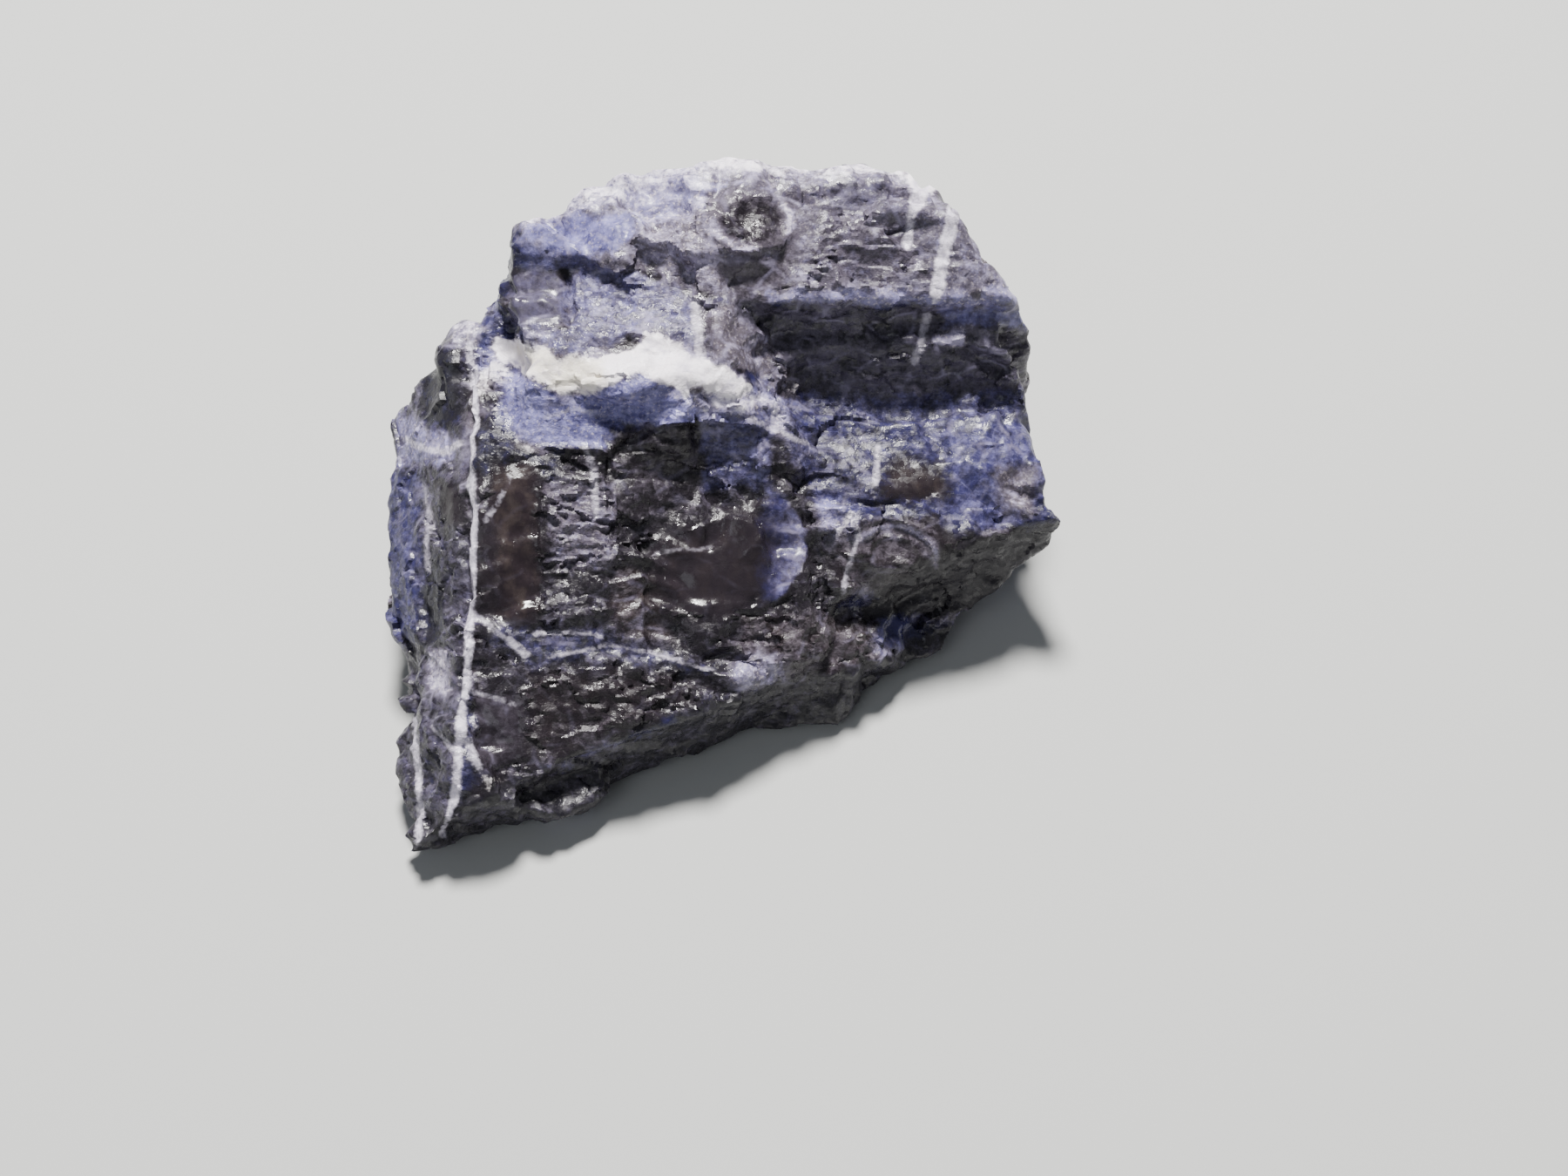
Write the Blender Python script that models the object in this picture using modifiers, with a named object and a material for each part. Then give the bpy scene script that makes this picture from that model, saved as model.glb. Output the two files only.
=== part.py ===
"""Rough sodalite: one broken stone, made of cleaved blocks grown together.

Shapes are drawn in millimetres and placed in metres, with +Z up. +X is the stone's right and -Y its
front, and it rests on a small flat facet at z = 0, under the middle of its box.
A cleavage face is given by its bearing (the way it looks in plan: 0 right, 90 back, -90 front),
its dip (0 level, 90 an upright wall, over 90 undercut) and a point that it passes through.
"""

import math

import bmesh
import bpy
from mathutils import Matrix, Vector, noise

# Driving dimensions
STONE_NAME = "sodalite"
STONE_WIDTH = 0.054
MM = 0.001
BLANK_SIDE = 160.0
VOXEL = 0.45
MOST_TRIANGLES = 9400
BASE_TRIM = 0.05

# The stone's look
STONE_COLOUR = (0.055, 0.062, 0.13, 1.0)
STONE_ROUGHNESS = 0.42

# The corners that the cleavage faces run through, in millimetres
FRONT_FOOT = (-1.8, -14.1, 3.0)
FRONT_CREST = (-8.7, -17.5, 7.0)
LEFT_BROW = (-19.6, -5.0, 16.8)
LEFT_EDGE = (-27.1, -5.0, 8.0)
BACK_LEFT = (-18.6, 14.6, 19.5)
BACK_WALL = (0.0, 23.4, 15.0)
BACK_RIGHT = (21.5, 17.0, 8.0)
LEDGE_EDGE = (11.7, 12.7, 25.0)
STEP_EDGE = (15.3, 2.5, 14.6)
RIGHT_NOSE = (26.7, 0.6, 11.0)
RIGHT_WALL = (24.0, 6.0, 5.0)

# The faces under the stone, which every block shares
UNDERSIDE = [
    (0, 180, (0.0, 0.0, 0.0)),
    (182, 174, (-11.5, 4.0, 0.0)),
    (182, 118, (-24.8, 0.0, 1.6)),
    (-65, 174, (-2.0, -7.5, 0.0)),
    (98, 170, (0.0, 13.5, 0.0)),
    (96, 140, (0.0, 18.4, 1.0)),
    (38, 140, (16.8, 13.0, 1.2)),
    (-4, 170, (9.5, 0.0, 0.0)),
    (-14, 132, (19.4, 0.0, 1.8)),
]

# The blocks, each a list of (bearing, dip, point)
BLOCKS = {
    "heart_block": [
        (-65, 90, FRONT_FOOT),
        (-72, 34, FRONT_CREST),
        (-158, 53, LEFT_BROW),
        (-164, 51, LEFT_BROW),
        (178, 95, LEFT_EDGE),
        (150, 74, BACK_LEFT),
        (92, 88, BACK_WALL),
        (-12, 62, (7.4, -4.0, 11.0)),
        (-90, 9, (-8.0, 2.6, 19.8)),
    ],
    "right_foot": [
        (-65, 91, FRONT_FOOT),
        (-52, 16, (0.7, -12.5, 7.2)),
        (170, 70, (-5.0, -10.0, 5.0)),
        (92, 92, BACK_WALL),
        (40, 94, BACK_RIGHT),
        (2, 97, RIGHT_WALL),
        (-38, 95, (20.6, -3.3, 3.0)),
    ],
    "left_slab": [
        (-158, 53, LEFT_BROW),
        (-166, 50, LEFT_BROW),
        (178, 96, LEFT_EDGE),
        (-65, 91, FRONT_FOOT),
        (-84, 22, (-20.0, 6.0, 21.4)),
        (-72, 34, (-19.6, -5.0, 17.4)),
        (98, 76, (-20.5, 14.6, 19.0)),
        (130, 76, (-24.6, 11.6, 15.0)),
        (8, 80, (-18.4, 5.0, 19.0)),
    ],
    "tier_block": [
        (-88, 51, (-8.7, 2.6, 19.6)),
        (-92, 30, (-8.7, 6.4, 24.1)),
        (-104, 9, (-8.9, 14.5, 26.3)),
        (-168, 80, (-16.2, 9.0, 23.0)),
        (-20, 58, (3.5, 10.3, 21.5)),
        (0, 85, (9.0, 12.0, 18.0)),
        (92, 84, (0.0, 21.4, 26.0)),
        (112, 84, (-9.1, 20.4, 26.0)),
        (150, 80, (-17.0, 16.6, 20.0)),
    ],
    "bevel_block": [
        (-139, 15, (-15.9, 18.2, 27.0)),
        (-97, 86, (-8.8, 14.8, 27.0)),
        (176, 82, (-16.2, 17.5, 26.0)),
        (115, 84, (-9.1, 21.2, 28.5)),
        (92, 84, (-4.0, 22.6, 28.5)),
        (-25, 50, (3.4, 18.0, 28.0)),
        (60, 8, (8.0, 21.0, 29.9)),
        (0, 85, (9.0, 18.0, 20.0)),
    ],
    "upper_block": [
        (-76, 32, (11.7, 12.7, 25.0)),
        (-84, 92, LEDGE_EDGE),
        (16, 86, (24.5, 14.4, 22.0)),
        (33, 69, (19.4, 17.7, 26.0)),
        (90, 84, (8.0, 22.7, 28.0)),
        (118, 70, (-1.0, 22.0, 30.0)),
        (-150, 60, (-3.0, 14.5, 26.5)),
        (60, 8, (8.0, 21.0, 29.9)),
    ],
    "recess_wall": [
        (-84, 68, (15.4, 9.3, 15.0)),
        (-95, 12, (12.0, 12.4, 21.4)),
        (16, 88, (24.0, 12.0, 18.0)),
        (40, 88, (19.0, 17.0, 18.0)),
        (90, 87, (10.0, 20.0, 20.0)),
        (180, 88, (1.0, 12.0, 18.0)),
    ],
    "step_block": [
        (-58, 12, STEP_EDGE),
        (-72, 33, STEP_EDGE),
        (-69, 87, (17.4, -2.1, 9.6)),
        (-86, 52, (9.6, -6.6, 8.0)),
        (-15, 112, (27.2, -0.9, 9.0)),
        (20, 96, RIGHT_NOSE),
        (60, 90, (23.6, 12.4, 8.0)),
        (92, 90, BACK_WALL),
        (-140, 62, (4.2, 1.0, 12.0)),
    ],
}

# Lumps joined on and shell-shaped hollows taken out, as (centre, radii, turn about Z in degrees)
LUMPS = {
    "foot_bulge": ((-12.6, -19.3, 2.8), (3.8, 2.1, 2.2), 25),
    "rosette_dome": ((1.2, 16.8, 27.2), (4.6, 3.6, 2.6), 10),
    "shoulder_lump": ((20.5, 6.5, 13.4), (4.5, 4.0, 2.2), 0),
    "brow_lump": ((-6.0, 6.4, 23.6), (5.5, 2.6, 1.6), 0),
    "slab_knob": ((-20.6, 12.0, 18.9), (2.4, 2.8, 2.4), 0),
}
HOLLOWS = {
    "front_hollow": ((-10.6, -20.2, 5.6), (4.6, 2.6, 2.2), 25),
    "window_hollow": ((0.3, -6.6, 27.4), (14.0, 12.6, 14.0), 0),
    "crest_shell": ((2.8, -14.2, 13.0), (5.6, 5.0, 5.2), 20),
    "crest_shell_right": ((8.6, -11.4, 11.6), (4.4, 4.0, 4.6), 20),
    "notch_shell": ((-6.2, 13.2, 28.8), (3.6, 2.4, 2.6), 0),
    "recess_shell": ((9.0, 7.6, 21.4), (5.0, 4.0, 5.4), 0),
    "recess_shell_right": ((20.2, 8.6, 19.6), (4.6, 3.6, 4.2), 0),
    "nose_shell": ((19.0, -6.2, 6.4), (6.6, 4.6, 5.0), 25),
    "left_shell": ((-29.6, 4.4, 17.0), (6.0, 7.0, 6.0), 0),
    "left_shell_front": ((-30.0, -12.5, 8.6), (6.0, 6.4, 6.4), 0),
    "back_shell": ((-9.0, 30.8, 20.0), (12.0, 9.0, 12.0), 0),
    "back_shell_right": ((14.0, 29.0, 8.0), (10.0, 8.0, 8.0), 0),
    "right_shell": ((30.4, 13.0, 8.0), (7.0, 8.0, 7.4), 0),
}

# Broken relief, in millimetres: its chips are (cell size, slope)
CHIPS = [(9.0, 0.12), (4.2, 0.17)]
CHIP_VARIETY = 7.3
STEP_SPACING = 3.0
STEP_HEIGHT = 0.45
STEP_RISE = Vector((0.0, 0.8, 0.6))
STEP_WANDER = 2.2
WANDER_SIZE = 7.0
CALM_SIZE = 9.0
CALM_START = Vector((3.1, 8.4, 5.7))
CALM_RANGE = (-0.12, 0.22)
CALM_CHIPS = 0.25

# Where the relief fades: below this height, and where a sharp edge turns the normal by more than this
BASE_FADE = 1.2
EDGE_TURN = 0.68
NORMAL_ROUNDS = 5
BALL_ROUNDS = 4


def outward(bearing, dip):
    """The unit normal of a face with this bearing and dip, in degrees."""
    turn, tilt = math.radians(bearing), math.radians(dip)
    level = math.sin(tilt)
    return Vector((math.cos(turn) * level, math.sin(turn) * level, math.cos(tilt)))


def clear_scene():
    for obj in list(bpy.data.objects):
        bpy.data.objects.remove(obj)


def collection(name):
    made = bpy.data.collections.new(name)
    bpy.context.scene.collection.children.link(made)
    return made


def object_of(name, shape, home):
    """A mesh object from a bmesh, which it frees."""
    mesh = bpy.data.meshes.new(name)
    bmesh.ops.recalc_face_normals(shape, faces=shape.faces)
    shape.to_mesh(mesh)
    shape.free()
    made = bpy.data.objects.new(name, mesh)
    home.objects.link(made)
    return made


def split_off(shape, normal, point):
    """Cuts away everything in front of a plane and closes the cut with one face."""
    everything = shape.verts[:] + shape.edges[:] + shape.faces[:]
    cut = bmesh.ops.bisect_plane(
        shape, geom=everything, plane_co=point, plane_no=normal, clear_outer=True
    )
    rim = [edge for edge in cut["geom_cut"] if isinstance(edge, bmesh.types.BMEdge)]
    bmesh.ops.edgeloop_fill(shape, edges=rim)


def cleaved_block(name, faces, home):
    """A convex block: a cube blank split along each face, keeping what lies behind it."""
    shape = bmesh.new()
    bmesh.ops.create_cube(shape, size=BLANK_SIDE * MM)
    for bearing, dip, point in UNDERSIDE + faces:
        split_off(shape, outward(bearing, dip), Vector(point) * MM)
    return object_of(name, shape, home)


def ellipsoid(name, centre, radii, turn, home):
    shape = bmesh.new()
    bmesh.ops.create_icosphere(shape, subdivisions=BALL_ROUNDS, radius=1.0)
    turned = Matrix.Rotation(math.radians(turn), 4, "Z")
    stretched = Matrix.Diagonal((*(Vector(radii) * MM), 1.0))
    place = Matrix.Translation(Vector(centre) * MM) @ turned @ stretched
    bmesh.ops.transform(shape, matrix=place, verts=shape.verts)
    return object_of(name, shape, home)


def hide_helper(obj):
    obj.hide_render = True
    obj.display_type = "WIRE"


def boolean(target, other, operation):
    """Joins or cuts with the MANIFOLD solver, since EXACT fails on the faces that the blocks share."""
    step = target.modifiers.new(other.name, "BOOLEAN")
    step.operation = operation
    step.solver = "MANIFOLD"
    step.object = other
    hide_helper(other)


def settle(obj):
    """Applies the object's modifiers to its mesh."""
    graph = bpy.context.evaluated_depsgraph_get()
    mesh = bpy.data.meshes.new_from_object(obj.evaluated_get(graph))
    obj.modifiers.clear()
    old = obj.data
    obj.data = mesh
    bpy.data.meshes.remove(old)


def smooth_step(low, high, value):
    part = min(max((value - low) / (high - low), 0.0), 1.0)
    return part * part * (3.0 - 2.0 * part)


def chip(place, cell, slope):
    """The height of a flat chip that leans its own way in each cell, in millimetres."""
    distances, seeds = noise.voronoi(place / cell)
    lean = noise.cell_vector(seeds[0] * CHIP_VARIETY)
    return slope * cell * lean.dot(place / cell - seeds[0])


def cleavage_steps(place):
    """Small ledges that run across the stone, each rising slowly and falling sharply."""
    wander = noise.noise(place / WANDER_SIZE) * STEP_WANDER
    part = (place.dot(STEP_RISE) / STEP_SPACING + wander) % 1.0
    return STEP_HEIGHT * (part - 0.5)


def relief(place):
    """How far the broken surface stands out from the plain blocks here, in millimetres."""
    calm = smooth_step(*CALM_RANGE, noise.noise(place / CALM_SIZE + CALM_START))
    broken = 1.0 - calm
    rough = sum(chip(place, cell, slope) for cell, slope in CHIPS)
    return rough * (CALM_CHIPS + (1.0 - CALM_CHIPS) * broken) + cleavage_steps(place) * broken


def soft_normals(shape):
    """The vertex normals, averaged over their neighbours so that they turn slowly round an edge."""
    normals = [vertex.normal.copy() for vertex in shape.verts]
    around = [[edge.other_vert(vertex).index for edge in vertex.link_edges] for vertex in shape.verts]
    for _ in range(NORMAL_ROUNDS):
        normals = [
            (normal + sum((normals[other] for other in others), Vector())).normalized()
            for normal, others in zip(normals, around)
        ]
    return normals


def break_surface(obj):
    """Moves each vertex by the relief, which is weaker on sharp edges and on the resting facet."""
    shape = bmesh.new()
    shape.from_mesh(obj.data)
    shape.verts.index_update()
    sharp = [vertex.normal.copy() for vertex in shape.verts]
    for vertex, before, normal in zip(shape.verts, sharp, soft_normals(shape)):
        place = vertex.co / MM
        above_base = smooth_step(0.0, BASE_FADE, place.z)
        off_edges = smooth_step(EDGE_TURN, 1.0, before.dot(normal))
        vertex.co += normal * (relief(place) * above_base * off_edges * MM)
    shape.to_mesh(obj.data)
    shape.free()


def flatten_base(obj):
    """Trims the stone just above its underside, so that it rests on one flat facet at z = 0."""
    shape = bmesh.new()
    shape.from_mesh(obj.data)
    split_off(shape, outward(0, 180), Vector((0.0, 0.0, BASE_TRIM * MM)))
    bmesh.ops.triangulate(shape, faces=shape.faces)
    shape.to_mesh(obj.data)
    shape.free()


def size_and_centre(obj):
    """Scales the stone to its real width and puts the middle of its base box on the origin."""
    places = [vertex.co for vertex in obj.data.vertices]
    low = Vector([min(place[axis] for place in places) for axis in range(3)])
    high = Vector([max(place[axis] for place in places) for axis in range(3)])
    foot = Vector(((low.x + high.x) / 2, (low.y + high.y) / 2, low.z))
    obj.data.transform(Matrix.Scale(STONE_WIDTH / (high.x - low.x), 4) @ Matrix.Translation(-foot))


def stone_material():
    made = bpy.data.materials.new("sodalite_stone")
    made.use_nodes = True
    shader = made.node_tree.nodes["Principled BSDF"]
    shader.inputs["Base Color"].default_value = STONE_COLOUR
    shader.inputs["Roughness"].default_value = STONE_ROUGHNESS
    shader.inputs["Metallic"].default_value = 0.0
    return made


def main():
    clear_scene()
    stone_home = collection(STONE_NAME)
    helpers = collection("blocks_and_hollows")
    first, *others = [cleaved_block(name, faces, helpers) for name, faces in BLOCKS.items()]
    stone = bpy.data.objects.new(STONE_NAME, first.data.copy())
    stone_home.objects.link(stone)
    hide_helper(first)
    for block in others:
        boolean(stone, block, "UNION")
    for name, form in LUMPS.items():
        boolean(stone, ellipsoid(name, *form, helpers), "UNION")
    for name, form in HOLLOWS.items():
        boolean(stone, ellipsoid(name, *form, helpers), "DIFFERENCE")
    settle(stone)
    even = stone.modifiers.new("even_grain", "REMESH")
    even.mode = "VOXEL"
    even.voxel_size = VOXEL * MM
    settle(stone)
    break_surface(stone)
    triangles = 2 * len(stone.data.polygons)
    fewer = stone.modifiers.new("fewer_faces", "DECIMATE")
    fewer.ratio = MOST_TRIANGLES / triangles
    settle(stone)
    flatten_base(stone)
    size_and_centre(stone)
    stone.data.materials.append(stone_material())


main()
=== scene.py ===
"""Rough sodalite: the fine surface of the stone, its colours, and the floor, light and camera.

Marks that the picture shows are drawn in picture points (1800 by 1350, y downwards) and carried onto
the stone through the camera. Other sizes and places are in millimetres in the part's own frame, but
those of the lights and the floor are in metres.
"""

import math

import bpy
import numpy as np
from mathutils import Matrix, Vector, noise
from mathutils.bvhtree import BVHTree

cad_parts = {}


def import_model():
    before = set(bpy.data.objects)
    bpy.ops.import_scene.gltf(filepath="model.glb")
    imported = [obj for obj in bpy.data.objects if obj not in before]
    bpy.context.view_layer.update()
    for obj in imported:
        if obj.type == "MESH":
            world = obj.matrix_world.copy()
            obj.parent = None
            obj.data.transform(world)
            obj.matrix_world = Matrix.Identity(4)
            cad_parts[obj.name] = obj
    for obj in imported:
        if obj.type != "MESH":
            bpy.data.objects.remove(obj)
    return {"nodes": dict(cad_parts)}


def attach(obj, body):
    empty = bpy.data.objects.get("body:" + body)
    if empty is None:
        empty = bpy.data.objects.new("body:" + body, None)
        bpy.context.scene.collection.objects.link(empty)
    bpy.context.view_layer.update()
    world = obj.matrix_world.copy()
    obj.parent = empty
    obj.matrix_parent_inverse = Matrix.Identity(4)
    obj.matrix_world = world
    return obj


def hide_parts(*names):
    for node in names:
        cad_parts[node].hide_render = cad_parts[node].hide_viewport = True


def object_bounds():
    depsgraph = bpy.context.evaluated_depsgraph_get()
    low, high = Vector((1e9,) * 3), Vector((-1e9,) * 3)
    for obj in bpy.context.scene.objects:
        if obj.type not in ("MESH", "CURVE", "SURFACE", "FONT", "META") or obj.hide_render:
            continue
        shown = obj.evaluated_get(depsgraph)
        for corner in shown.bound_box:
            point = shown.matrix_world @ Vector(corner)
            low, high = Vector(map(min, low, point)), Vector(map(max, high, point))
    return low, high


MM = 0.001
HALF = (0.5, 0.5, 0.5)

# Camera
PICTURE = (1800, 1350)
SENSOR = 36.0
LENS = 57.1
NEAREST_SEEN = 1.0
CAMERA_DROP = math.radians(55.0)
CAMERA_AIM = np.array((4.98, -6.10, 11.04))
CAMERA_DISTANCE = 194.4
RIGHT = np.array((1.0, 0.0, 0.0))
UP = np.array((0.0, math.sin(CAMERA_DROP), math.cos(CAMERA_DROP)))
BACK = np.array((0.0, -math.cos(CAMERA_DROP), math.sin(CAMERA_DROP)))
POINTS_PER_SLOPE = LENS / SENSOR * PICTURE[0]
POINTS_PER_MM = POINTS_PER_SLOPE / CAMERA_DISTANCE

# Lights: place and size in metres, power in watts, colour
KEY_LIGHT = ((-0.02, 0.21, 0.47), 0.12, 9.5, (1.0, 0.975, 0.955))
FILL_LIGHT = ((-0.30, -0.40, 0.42), 0.40, 0.6, (0.90, 0.94, 1.0))
SKY_COLOUR = (0.88, 0.92, 1.0, 1.0)
SKY_STRENGTH = 0.19

# Floor, which reaches this many metres from the middle
FLOOR_REACH = 3.0
FLOOR_COLOUR = (0.44, 0.45, 0.44, 1.0)
FLOOR_ROUGHNESS = 0.75

# Fine mesh. Rounds say how often values are averaged over neighbouring vertices
GRAIN_VOXEL = 0.23
MOST_TRIANGLES = 192000
SMOOTH_ROUNDS = 2
SHARPEN_SHARE = -0.52
NORMAL_ROUNDS = 6
SEEN_ROUNDS = 3
SIGHT_CLEARANCE = 0.15
BOX_MARGIN = 0.001
SHARP_ANGLE = math.radians(30.0)

# Smooth noises: size, start and octaves. Where a name has a fine one too, the sizes of its wander or
# bend are a pair, first for the coarse noise and then for the fine one
NOISES = {
    "ragged": (1.6, (4.0, 1.0, 7.0), 1),
    "ragged_fine": (0.6, (2.0, 5.0, 3.0), 1),
    "broad": (8.0, (1.5, 9.0, 2.5), 2),
    "patchy": (4.0, (6.5, 2.0, 8.5), 3),
    "white": (6.0, (8.0, 3.0, 1.0), 3),
    "hackly": (5.0, (5.0, 5.0, 2.0), 1),
    "ledges": (4.5, (2.0, 6.0, 1.0), 1),
    "ledges_fine": (1.6, (2.0, 6.0, 1.0), 1),
    "wander_across": (1.8, (7.0, 7.0, 1.0), 1),
    "wander_down": (1.8, (2.0, 8.0, 8.0), 1),
    "vein_bend": (1.6, (3.0, 3.0, 9.0), 1),
    "vein_bend_fine": (0.5, (1.0, 8.0, 4.0), 1),
    "vein_branches": (8.0, (2.0, 4.0, 6.0), 2),
    "vein_sheets": (5.0, (9.0, 4.0, 3.0), 1),
}
OCTAVE_LOSS = 1.0
OCTAVE_STEP = 2.0

# Broken relief: cell size, stretch, start, slope, rise and, for the scoops, how hollow they are
WIDE_SCOOPS = (4.6, (1.0, 0.8, 0.8), (1.0, 4.0, 2.0), 0.24, 0.08, 0.12)
SMALL_SCOOPS = (2.0, (1.3, 0.7, 0.7), (3.0, 1.0, 4.0), 0.26, 0.07, 0.14)
FLAT_CHIPS = (1.0, (1.6, 0.6, 0.6), (7.0, 2.0, 5.0), 0.24, 0.05)
CHIP_VARIETY = 7.3
LEDGE_SPACING = 2.4
LEDGE_WANDER = (0.8, 0.35)
LEDGE_HEIGHT = 0.14
BROKEN_HEIGHT = 1.25

# Hackly patches: range of the noise, shares of the small scoops and chips that are left outside them,
# and share of the ledges that is lost in them
HACKLY_RANGE = (-0.35, 0.35)
PLAIN_SCOOPS = 0.3
PLAIN_CHIPS = 0.1
LEDGE_LOSS = 0.8

# All relief is weaker low on the stone. On sharp edges a share of the broken relief is left, and
# a share of it is lost around the ringed shells
BASE_FADE = (0.15, 1.0)
EDGE_TURN = (0.6, 0.95)
EDGE_SHARE = 0.35
RING_NEAR = (1.5, 1.1)
RING_CALM = 0.7

# Drawn relief: how far its lines wander in picture points, and how lips, drops and rings are formed
LINE_WANDER = 5.0
LINE_TAPER = 0.15
LIP_RISE = (-0.05, 0.22)
RING_WIDTH = 0.24
BOWL_REACH = 0.6
BOWL_DEPTH = 0.6

# Painted edges: how far they wander in picture points, how much of that an arc's radii take, and
# over how many degrees an arc ends
EDGE_WANDER = (9.0, 5.0)
ARC_WANDER = 0.006
ARC_FADE = 30.0
FULL_TURN = 360.0

# Tones in the order of their columns and of the values in the tables
TONES = ("pale", "blue", "white", "glass", "warm", "broken")
LOWEST_TONES = (-0.4, 0.0, 0.0, 0.0, 0.0, 0.0)
CREAM_WARMTH = 0.9

# Bands on the hidden sides: share that is left there, and the patchy noise that they show in
HIDDEN_BAND = 0.7
HIDDEN_BAND_RANGE = (-0.2, 0.3)

# Veins: where the edge lies as a share of the half width, taper as a share of the length, then loss of
# depth at the ends and size of the bends in millimetres, the least strength that shows, and the depth
# where there is no vein
VEIN_EDGE = 0.85
VEIN_TAPER = 0.08
VEIN_THINNING = 0.25
VEIN_BEND = (0.12, 0.05)
LEAST_POWER = 0.05
NO_VEIN = -5.0

# Veins of the hidden sides: depth, slope of the branches, strength, and the noise that they show in
HIDDEN_FROM = 0.3
HIDDEN_VEIN_DEPTH = 0.12
HIDDEN_VEIN_SLOPE = 7.0
HIDDEN_VEIN_POWER = 0.7
SHEET_RANGE = (-0.1, 0.35)

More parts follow.
